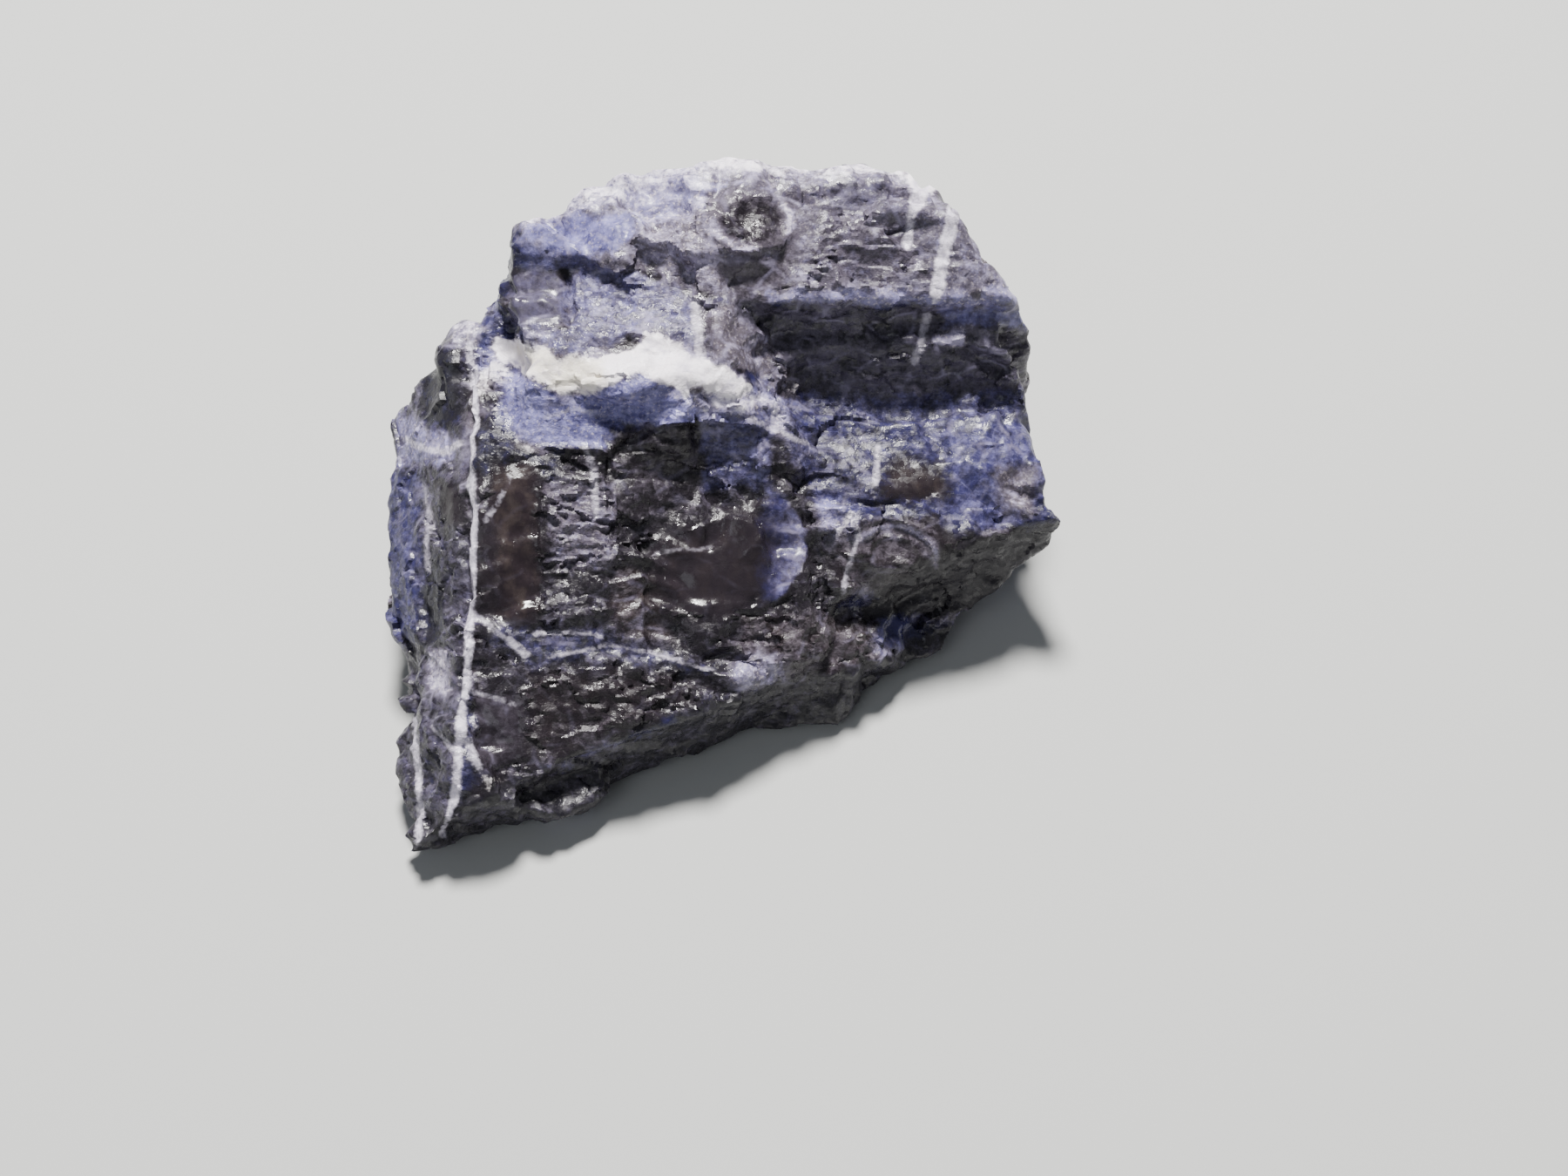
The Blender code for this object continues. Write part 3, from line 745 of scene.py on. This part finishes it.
def plain_tones(places, patchy):
    """Tones for the whole stone, before the marks of the picture are painted over them."""
    broad = soft_noise(places, "broad")
    tones = {
        "pale": 0.26 + 0.75 * patchy,
        "blue": 0.35 + 0.9 * broad,
        "white": 0.6 * smooth_step(0.36, 0.66, soft_noise(places, "white")),
        "glass": smooth_step(0.0, 0.35, -patchy) * 0.8,
        "warm": 0.3 - 0.8 * broad,
        "broken": 0.5 + 0.5 * patchy,
    }
    return np.stack([tones[name] for name in TONES], axis=1)


def zone_share(points, outline, soft, ragged):
    """1 inside an outline, falling to 0 across its soft and ragged edge."""
    return smooth_step(-soft, soft, depth_inside(points, outline) + ragged)


def arc_share(points, ragged, seen, middle, radii, band, bearings):
    """1 in an arc's full band where it is seen, falling to 0 on its two sides and past its two ends."""
    away = share_of_radii(points, middle, radii) + ragged * ARC_WANDER
    start, full, still_full, end = band
    share = np.clip((away - start) / (full - start), 0.0, 1.0) * smooth_step(end, still_full, away) * seen
    first, last = bearings
    width = last - first
    if width < FULL_TURN:
        offset = (points - middle) / radii
        bearing = np.degrees(np.arctan2(offset[:, 1], offset[:, 0]))
        turned = (bearing - first + ARC_FADE / 2) % FULL_TURN
        share = share * smooth_step(0.0, ARC_FADE, turned) * smooth_step(width + ARC_FADE, width, turned)
    return share


def move_tones(tones, share, wanted):
    """Moves each vertex's tones towards the wanted ones, by its share of the way."""
    tones += share[:, None] * (np.array(wanted) - tones)


def paint(places, points, seen):
    """The stone's tones at each vertex, with a column for each of TONES."""
    ragged = wobble(places, "ragged", EDGE_WANDER)
    patchy = soft_noise(places, "patchy")
    through = (1.0 - seen) * HIDDEN_BAND * smooth_step(*HIDDEN_BAND_RANGE, patchy)
    tones = plain_tones(places, patchy)
    for outline, soft, wanted in ZONES.values():
        move_tones(tones, zone_share(points, outline, soft, ragged) * seen, wanted)
    for outline, soft, wanted in BANDS.values():
        move_tones(tones, zone_share(points, outline, soft, ragged) * (seen + through), wanted)
    for middle, radii, band, wanted, bearings in ARCS.values():
        move_tones(tones, arc_share(points, ragged, seen, middle, radii, band, bearings), wanted)
    cream = zone_share(points, *CREAM, ragged)
    warm = TONES.index("warm")
    tones[:, warm] = np.maximum(tones[:, warm], cream * CREAM_WARMTH)
    return np.clip(tones, LOWEST_TONES, 1.0)


def vein_field(places, points, seen):
    """How deep each vertex lies in a vein, in millimetres, and how strong that vein is."""
    bend = wobble(places, "vein_bend", VEIN_BEND)
    hidden = 1.0 - seen
    branching = np.abs(soft_noise(places, "vein_branches")) * HIDDEN_VEIN_SLOPE
    sheets = smooth_step(*SHEET_RANGE, soft_noise(places, "vein_sheets"))
    deepest = np.where(hidden > HIDDEN_FROM, HIDDEN_VEIN_DEPTH - branching + bend, NO_VEIN)
    strength = HIDDEN_VEIN_POWER * hidden * sheets
    for name, (path, half_width, power) in VEINS.items():
        gap, _, part = along_path(points, path)
        depth = (VEIN_EDGE * half_width - gap) / POINTS_PER_MM + bend
        depth = depth - (1.0 - end_taper(part, VEIN_TAPER)) * VEIN_THINNING
        local = power * (seen + hidden * THROUGH.get(name, 0.0) * sheets)
        better = (depth > deepest) & (local > LEAST_POWER)
        deepest = np.where(better, depth, deepest)
        strength = np.where(better, local, strength)
    return deepest, strength


def nudge(places, points):
    """Shifts parts of the outline within the picture's plane."""
    for middle, reach, shift in NUDGES.values():
        share = np.exp(-(share_of_radii(points, middle, reach) ** 2))[:, None]
        places = places + share * (RIGHT * shift[0] - UP * shift[1]) / POINTS_PER_MM
    return places


def even_out(mesh, edges):
    """Takes the small stairs of the voxels away without shrinking the stone."""
    places = spread(read_places(mesh), edges, SMOOTH_ROUNDS)
    places = spread(places, edges, SMOOTH_ROUNDS, SHARPEN_SHARE)
    places = spread(places, edges, SMOOTH_ROUNDS)
    write_places(mesh, places)
    return places


def broken_relief(places, broken):
    """Relief of the broken surface: scoops, chips and ledges, in millimetres."""
    hackly = smooth_step(*HACKLY_RANGE, soft_noise(places, "hackly"))
    relief = scoops(places, *WIDE_SCOOPS)
    relief += scoops(places, *SMALL_SCOOPS) * (PLAIN_SCOOPS + (1.0 - PLAIN_SCOOPS) * hackly)
    relief += chips(places, *FLAT_CHIPS) * (PLAIN_CHIPS + (1.0 - PLAIN_CHIPS) * hackly)
    relief += ledges(places) * LEDGE_HEIGHT * (1.0 - LEDGE_LOSS * hackly) * broken
    return relief * (BROKEN_HEIGHT * broken)


def shape_stone(mesh, box):
    """Turns the plain facets into a broken surface, and returns what the painting needs."""
    edges = read_edges(mesh)
    above_base = read_places(mesh)[:, 2] - box[0][2] / MM
    places = even_out(mesh, edges)
    sharp = read_normals(mesh)
    normals = spread(sharp, edges, NORMAL_ROUNDS)
    normals /= np.linalg.norm(normals, axis=1)[:, None]
    places = nudge(places, picture_points(places))
    points = picture_points(places)
    seen = spread(seen_by_camera(mesh, places, normals), edges, SEEN_ROUNDS)
    tones = paint(places, points, seen)
    relief = broken_relief(places, tones[:, TONES.index("broken")])
    off_edges = smooth_step(*EDGE_TURN, np.einsum("ij,ij->i", sharp, normals))
    relief *= EDGE_SHARE + (1.0 - EDGE_SHARE) * off_edges
    relief *= 1.0 - RING_CALM * near_rings(points) * seen
    wander = np.stack([soft_noise(places, name) for name in ("wander_across", "wander_down")], axis=1)
    relief += drawn_relief(points + wander * LINE_WANDER) * seen
    steady = smooth_step(*BASE_FADE, above_base)
    places = inside_box(places + normals * (relief * steady)[:, None], box)
    write_places(mesh, places)
    return places, points, tones, seen


def keep_values(mesh, name, values):
    made = mesh.attributes.new(name, "FLOAT", "POINT")
    made.data.foreach_set("value", values.astype(np.float32))


# Noises of the material: size in millimetres, detail, roughness and stretch
EVEN = (1.0, 1.0, 1.0)
GRAINS = {
    "fine": (0.7, 5.0, 0.62, EVEN),
    # Streaks along level cleavage: painted glints in the colour, relief in the bump
    "streaks": (0.34, 4.0, 0.60, (0.16, 1.0, 1.0)),
    "finest": (0.28, 3.0, 0.60, EVEN),
    "grain": (0.42, 2.0, 0.70, EVEN),
    "broad": (3.2, 4.0, 0.60, EVEN),
    "veil": (1.4, 4.0, 0.60, (1.0, 0.7, 0.7)),
    "scratch_gaps": (1.7, 3.0, 0.55, EVEN),
}

# Ramps of the material: the range of the value, then what it is turned into
RAMPS = {
    "scratch_line": (0.0, 0.10, 1.0, 0.0),
    "scratch_gaps": (0.42, 0.68, 0.0, 1.0),
    "scratch_on_pale": (0.0, 0.5, 0.03, 0.5),
    "veil": (0.42, 0.68, 0.0, 1.0),
    "brown_on_warm": (0.4, 0.8, 0.0, 1.0),
    "mottle_on_glass": (0.1, 0.9, 2.3, 0.9),
    "dark_to_grey": (0.08, 0.55, 0.0, 1.0),
    "grey_to_lavender": (0.5, 1.05, 0.0, 1.0),
    "clouds_on_glass": (0.1, 0.9, 1.0, 0.4),
    "deep_to_pale_blue": (0.2, 0.9, 0.0, 1.0),
    "blue": (0.25, 0.95, 0.0, 0.92),
    "white": (0.35, 0.8, 0.0, 1.0),
    "sugar_and_sparkle": (0.52, 0.72, 0.0, 1.0),
    "sugar_and_sparkle_on_pale": (0.35, 0.85, 0.0, 0.5),
    "vein": (-0.18, 0.20, 0.0, 1.0),
    "vein_gaps": (0.30, 0.50, 0.45, 1.0),
    "dull_on_glass": (0.0, 1.0, 0.40, 0.20),
    "dull_facets": (0.0, 0.4, 0.16, 0.38),
    "dull_white": (0.4, 0.8, 0.0, 1.0),
    "bump_on_broken": (0.0, 0.6, 0.15, 1.0),
}

# Facets: size in millimetres, and height of the bump as a share of it
SMALL_FACET = 0.42
LARGE_FACET = 1.1
SMALL_FACET_BUMP = 0.32
LARGE_FACET_BUMP = 0.30

# Scratches: cell size, size of the swirls and how far they bend, all in millimetres
SCRATCH_CELL = (3.4, 2.2, 2.2)
SCRATCH_SWIRL = 2.4
SCRATCH_BEND = 0.8

# What the noises and facets weigh in the specks, in the mottling and in the bump
SPECK_WEIGHTS = {"small_pick": 0.3, "large_pick": 0.7}
# In the mottling the streaks are painted glints along level cleavage
MOTTLE_WEIGHTS = {"fine": 0.34, "speck": 0.12, "broad": 0.14, "streaks": 0.18, "grain": 0.22}
BUMP_WEIGHTS = {
    "small_height": SMALL_FACET * SMALL_FACET_BUMP,
    "large_height": LARGE_FACET * LARGE_FACET_BUMP,
    "finest": 0.03,
    "streaks": 0.05,
    "grain": 0.11,
}
WHITE_MOTTLE = 1.9
VEIN_GRAIN = 0.30
WHITE_DULLNESS = 0.15
BUMP_STRENGTH = 0.8
STONE_IOR = 1.5
STONE_SPECULAR = 0.4

# Colours of the stone
DARK = (0.013, 0.012, 0.017, 1.0)
DARK_WARM = (0.018, 0.012, 0.014, 1.0)
BROWN = (0.036, 0.027, 0.026, 1.0)
GREY = (0.078, 0.068, 0.100, 1.0)
GREY_WARM = (0.098, 0.080, 0.088, 1.0)
LAVENDER = (0.345, 0.310, 0.455, 1.0)
BLUE_DEEP = (0.034, 0.032, 0.120, 1.0)
BLUE_PALE = (0.215, 0.205, 0.45, 1.0)
WHITE = (0.93, 0.88, 0.95, 1.0)
CREAM_WHITE = (0.80, 0.74, 0.62, 1.0)
# Sugary white grains, partly painted sparkle
SUGAR_AND_SPARKLE = (0.86, 0.76, 0.79, 1.0)


class Nodes:
    """Short helpers for building a material from nodes."""

    def __init__(self, material):
        self.made = material.node_tree.nodes
        self.links = material.node_tree.links
        self.place = self.put("ShaderNodeTexCoord").outputs["Object"]

    def put(self, kind, inputs=None, **settings):
        node = self.made.new(kind)
        for name, value in settings.items():
            setattr(node, name, value)
        for name, value in (inputs or {}).items():
            self.feed(node.inputs[name], value)
        return node

    def feed(self, socket, value):
        if isinstance(value, bpy.types.NodeSocket):
            self.links.new(value, socket)
        else:
            socket.default_value = value

    def math(self, operation, first, second, clamp=False):
        node = self.put("ShaderNodeMath", {0: first, 1: second}, operation=operation, use_clamp=clamp)
        return node.outputs[0]

    def add(self, first, second, clamp=False):
        return self.math("ADD", first, second, clamp)

    def times(self, first, second):
        return self.math("MULTIPLY", first, second)

    def centred(self, value):
        """A value between 0 and 1, moved to between -0.5 and 0.5."""
        return self.math("SUBTRACT", value, 0.5)

    def weighted(self, values, weights):
        """The sum of the named values, each times its weight."""
        total = None
        for name, weight in weights.items():
            part = self.times(values[name], weight)
            total = part if total is None else self.add(total, part)
        return total

    def vector(self, operation, first, second):
        return self.put("ShaderNodeVectorMath", {0: first, 1: second}, operation=operation).outputs[0]

    def scaled(self, vector, factor):
        return self.put("ShaderNodeVectorMath", {0: vector, "Scale": factor}, operation="SCALE").outputs[0]

    def attribute(self, name):
        return self.put("ShaderNodeAttribute", attribute_name=name).outputs["Fac"]

    def ramp(self, value, name):
        """Turns a value smoothly into another range, as the named ramp says."""
        low, high, out_low, out_high = RAMPS[name]
        ends = {"Value": value, "From Min": low, "From Max": high, "To Min": out_low, "To Max": out_high}
        return self.put("ShaderNodeMapRange", ends, interpolation_type="SMOOTHSTEP").outputs["Result"]

    def blend(self, share, first, second):
        return self.put("ShaderNodeMix", {0: share, 6: first, 7: second}, data_type="RGBA").outputs[2]

    def noise(self, name):
        """One of the material's noises, from 0 to 1."""
        size, detail, rough, stretch = GRAINS[name]
        place = self.vector("MULTIPLY", self.place, stretch)
        inputs = {"Vector": place, "Scale": 1.0 / (size * MM), "Detail": detail, "Roughness": rough}
        return self.put("ShaderNodeTexNoise", inputs).outputs["Fac"]

    def scratches(self):
        """Thin pale traces of cleavage, mostly level or upright, that come and go."""
        swirl = self.put("ShaderNodeTexNoise", {"Vector": self.place, "Scale": 1.0 / (SCRATCH_SWIRL * MM)})
        shift = self.scaled(self.vector("SUBTRACT", swirl.outputs["Color"], HALF), SCRATCH_BEND * MM)
        bent = self.vector("ADD", self.place, shift)
        sized = self.vector("MULTIPLY", bent, [1.0 / (side * MM) for side in SCRATCH_CELL])
        inputs = {"Vector": sized, "Scale": 1.0}
        cells = self.put("ShaderNodeTexVoronoi", inputs, feature="DISTANCE_TO_EDGE")
        thin = self.ramp(cells.outputs["Distance"], "scratch_line")
        return self.times(thin, self.ramp(self.noise("scratch_gaps"), "scratch_gaps"))

    def facets(self, size):
        """Height of small flat crystal faces that lean their own way, and a random number for each."""
        sized = self.scaled(self.place, 1.0 / (size * MM))
        cells = self.put("ShaderNodeTexVoronoi", {"Vector": sized, "Scale": 1.0})
        offset = self.vector("SUBTRACT", sized, cells.outputs["Position"])
        lean = self.vector("SUBTRACT", cells.outputs["Color"], HALF)
        height = self.put("ShaderNodeVectorMath", {0: offset, 1: lean}, operation="DOT_PRODUCT")
        single = self.put("ShaderNodeSeparateColor", {"Color": cells.outputs["Color"]})
        return height.outputs["Value"], single.outputs["Red"]


def stone_grains(nodes):
    """The noises and facets that the stone's colour, roughness and bump share."""
    grains = {name: nodes.noise(name) for name in ("fine", "streaks", "finest", "grain", "broad")}
    grains["small_height"], grains["small_pick"] = nodes.facets(SMALL_FACET)
    grains["large_height"], grains["large_pick"] = nodes.facets(LARGE_FACET)
    grains["speck"] = nodes.weighted(grains, SPECK_WEIGHTS)
    grains["mottle"] = nodes.weighted(grains, MOTTLE_WEIGHTS)
    return grains


def stone_ground(nodes, tones, paleness):
    """Dark to grey to lavender, as pale as the stone is there, and brown where it is dark and warm."""
    warm = tones["warm"]
    brown_share = nodes.times(nodes.ramp(nodes.noise("veil"), "veil"), nodes.ramp(warm, "brown_on_warm"))
    ground = nodes.blend(brown_share, nodes.blend(warm, DARK, DARK_WARM), BROWN)
    middle = nodes.blend(warm, GREY, GREY_WARM)
    colour = nodes.blend(nodes.ramp(paleness, "dark_to_grey"), ground, middle)
    return nodes.blend(nodes.ramp(paleness, "grey_to_lavender"), colour, LAVENDER)


def stone_colour(nodes, tones, grains, whiteness):
    """The ground, then blue, white crystals, sugary grains with painted sparkle, scratches and veins over
    it.
    """
    pale, glass, fine, finest = tones["pale"], tones["glass"], grains["fine"], grains["finest"]
    mottled = nodes.times(nodes.centred(grains["mottle"]), nodes.ramp(glass, "mottle_on_glass"))
    paleness = nodes.add(pale, mottled)
    colour = stone_ground(nodes, tones, paleness)

    clouded = nodes.times(nodes.centred(fine), nodes.ramp(glass, "clouds_on_glass"))
    blueness = nodes.add(tones["blue"], clouded)
    blue_tone = nodes.blend(nodes.ramp(paleness, "deep_to_pale_blue"), BLUE_DEEP, BLUE_PALE)
    colour = nodes.blend(nodes.ramp(blueness, "blue"), colour, blue_tone)

    white_tone = nodes.blend(tones["warm"], WHITE, CREAM_WHITE)
    colour = nodes.blend(nodes.ramp(whiteness, "white"), colour, white_tone)
    # Sugary white grains, partly painted sparkle, stronger where the stone is painted pale
    sugar_and_sparkle = nodes.times(nodes.ramp(finest, "sugar_and_sparkle"), nodes.ramp(pale, "sugar_and_sparkle_on_pale"))
    colour = nodes.blend(sugar_and_sparkle, colour, SUGAR_AND_SPARKLE)
    scratch = nodes.times(nodes.scratches(), nodes.ramp(pale, "scratch_on_pale"))
    colour = nodes.blend(scratch, colour, LAVENDER)

    vein_edge = nodes.add(tones["vein"], nodes.times(nodes.centred(finest), VEIN_GRAIN))
    vein_share = nodes.times(nodes.ramp(vein_edge, "vein"), tones["vein_power"])
    vein_share = nodes.times(vein_share, nodes.ramp(fine, "vein_gaps"))
    return nodes.blend(vein_share, colour, nodes.blend(finest, LAVENDER, WHITE))


def stone_roughness(nodes, tones, grains, whiteness):
    """Low in the glassy windows, higher in the white, and varied from facet to facet."""
    varied = nodes.times(nodes.centred(grains["small_pick"]), nodes.ramp(tones["broken"], "dull_facets"))
    dull = nodes.add(nodes.ramp(tones["glass"], "dull_on_glass"), varied)
    return nodes.add(dull, nodes.times(nodes.ramp(whiteness, "dull_white"), WHITE_DULLNESS), clamp=True)


def stone_bump(nodes, tones, grains):
    """Relief of the facets and grains that are too small for the mesh."""
    height = nodes.weighted(grains, BUMP_WEIGHTS)
    height = nodes.times(height, nodes.ramp(tones["broken"], "bump_on_broken"))
    bump = nodes.put("ShaderNodeBump", {"Height": height, "Strength": BUMP_STRENGTH, "Distance": MM})
    return bump.outputs["Normal"]


def stone_look():
    made = bpy.data.materials.new("sodalite_surface")
    made.use_nodes = True
    nodes = Nodes(made)
    tones = {name: nodes.attribute(name) for name in TONES + ("vein", "vein_power")}
    grains = stone_grains(nodes)
    whiteness = nodes.add(tones["white"], nodes.times(nodes.centred(grains["mottle"]), WHITE_MOTTLE))
    shader = nodes.made["Principled BSDF"]
    nodes.feed(shader.inputs["Base Color"], stone_colour(nodes, tones, grains, whiteness))
    nodes.feed(shader.inputs["Roughness"], stone_roughness(nodes, tones, grains, whiteness))
    nodes.feed(shader.inputs["Normal"], stone_bump(nodes, tones, grains))
    shader.inputs["IOR"].default_value = STONE_IOR
    shader.inputs["Specular IOR Level"].default_value = STONE_SPECULAR
    return made


def floor_look():
    made = bpy.data.materials.new("studio_floor")
    made.use_nodes = True
    shader = made.node_tree.nodes["Principled BSDF"]
    shader.inputs["Base Color"].default_value = FLOOR_COLOUR
    shader.inputs["Roughness"].default_value = FLOOR_ROUGHNESS
    return made


def make_floor():
    mesh = bpy.data.meshes.new("floor")
    turns = ((-1, -1), (1, -1), (1, 1), (-1, 1))
    corners = [(across * FLOOR_REACH, along * FLOOR_REACH, 0.0) for across, along in turns]
    mesh.from_pydata(corners, [], [(0, 1, 2, 3)])
    mesh.materials.append(floor_look())
    made = bpy.data.objects.new("floor", mesh)
    bpy.context.scene.collection.objects.link(made)


def area_light(name, place, size, power, colour):
    light = bpy.data.lights.new(name, "AREA")
    light.shape = "DISK"
    light.size = size
    light.energy = power
    light.color = colour
    made = bpy.data.objects.new(name, light)
    bpy.context.scene.collection.objects.link(made)
    made.location = place
    made.rotation_euler = (Vector(CAMERA_AIM * MM) - Vector(place)).to_track_quat("-Z", "Y").to_euler()


def make_light():
    area_light("key_light", *KEY_LIGHT)
    area_light("fill_light", *FILL_LIGHT)
    world = bpy.data.worlds.new("studio")
    bpy.context.scene.world = world
    world.use_nodes = True
    sky = world.node_tree.nodes["Background"]
    sky.inputs["Color"].default_value = SKY_COLOUR
    sky.inputs["Strength"].default_value = SKY_STRENGTH


def make_camera():
    lens = bpy.data.cameras.new("camera")
    lens.lens = LENS
    lens.sensor_width = SENSOR
    lens.clip_start = NEAREST_SEEN * MM
    made = bpy.data.objects.new("camera", lens)
    bpy.context.scene.collection.objects.link(made)
    made.location = Vector((CAMERA_AIM + BACK * CAMERA_DISTANCE) * MM)
    made.rotation_euler = Vector(-BACK).to_track_quat("-Z", "Y").to_euler()
    bpy.context.scene.camera = made


def make_stone(node, box):
    """The stone's fine surface, with its tones and veins kept at the vertices for the material."""
    stone = fine_copy(node)
    mesh = stone.data
    places, points, tones, seen = shape_stone(mesh, box)
    for index, name in enumerate(TONES):
        keep_values(mesh, name, tones[:, index])
    depth, strength = vein_field(places, points, seen)
    keep_values(mesh, "vein", depth)
    keep_values(mesh, "vein_power", strength)
    fewer_triangles(stone)
    mesh = stone.data
    write_places(mesh, inside_box(read_places(mesh), box))
    mesh.materials.clear()
    mesh.materials.append(stone_look())
    for polygon in mesh.polygons:
        polygon.use_smooth = True
    mesh.set_sharp_from_angle(angle=SHARP_ANGLE)
    return stone


def main():
    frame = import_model()
    cad_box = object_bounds()
    stone = make_stone(frame["nodes"]["sodalite"], cad_box)
    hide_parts("sodalite")
    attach(stone, "root")
    make_floor()
    make_light()
    make_camera()


main()
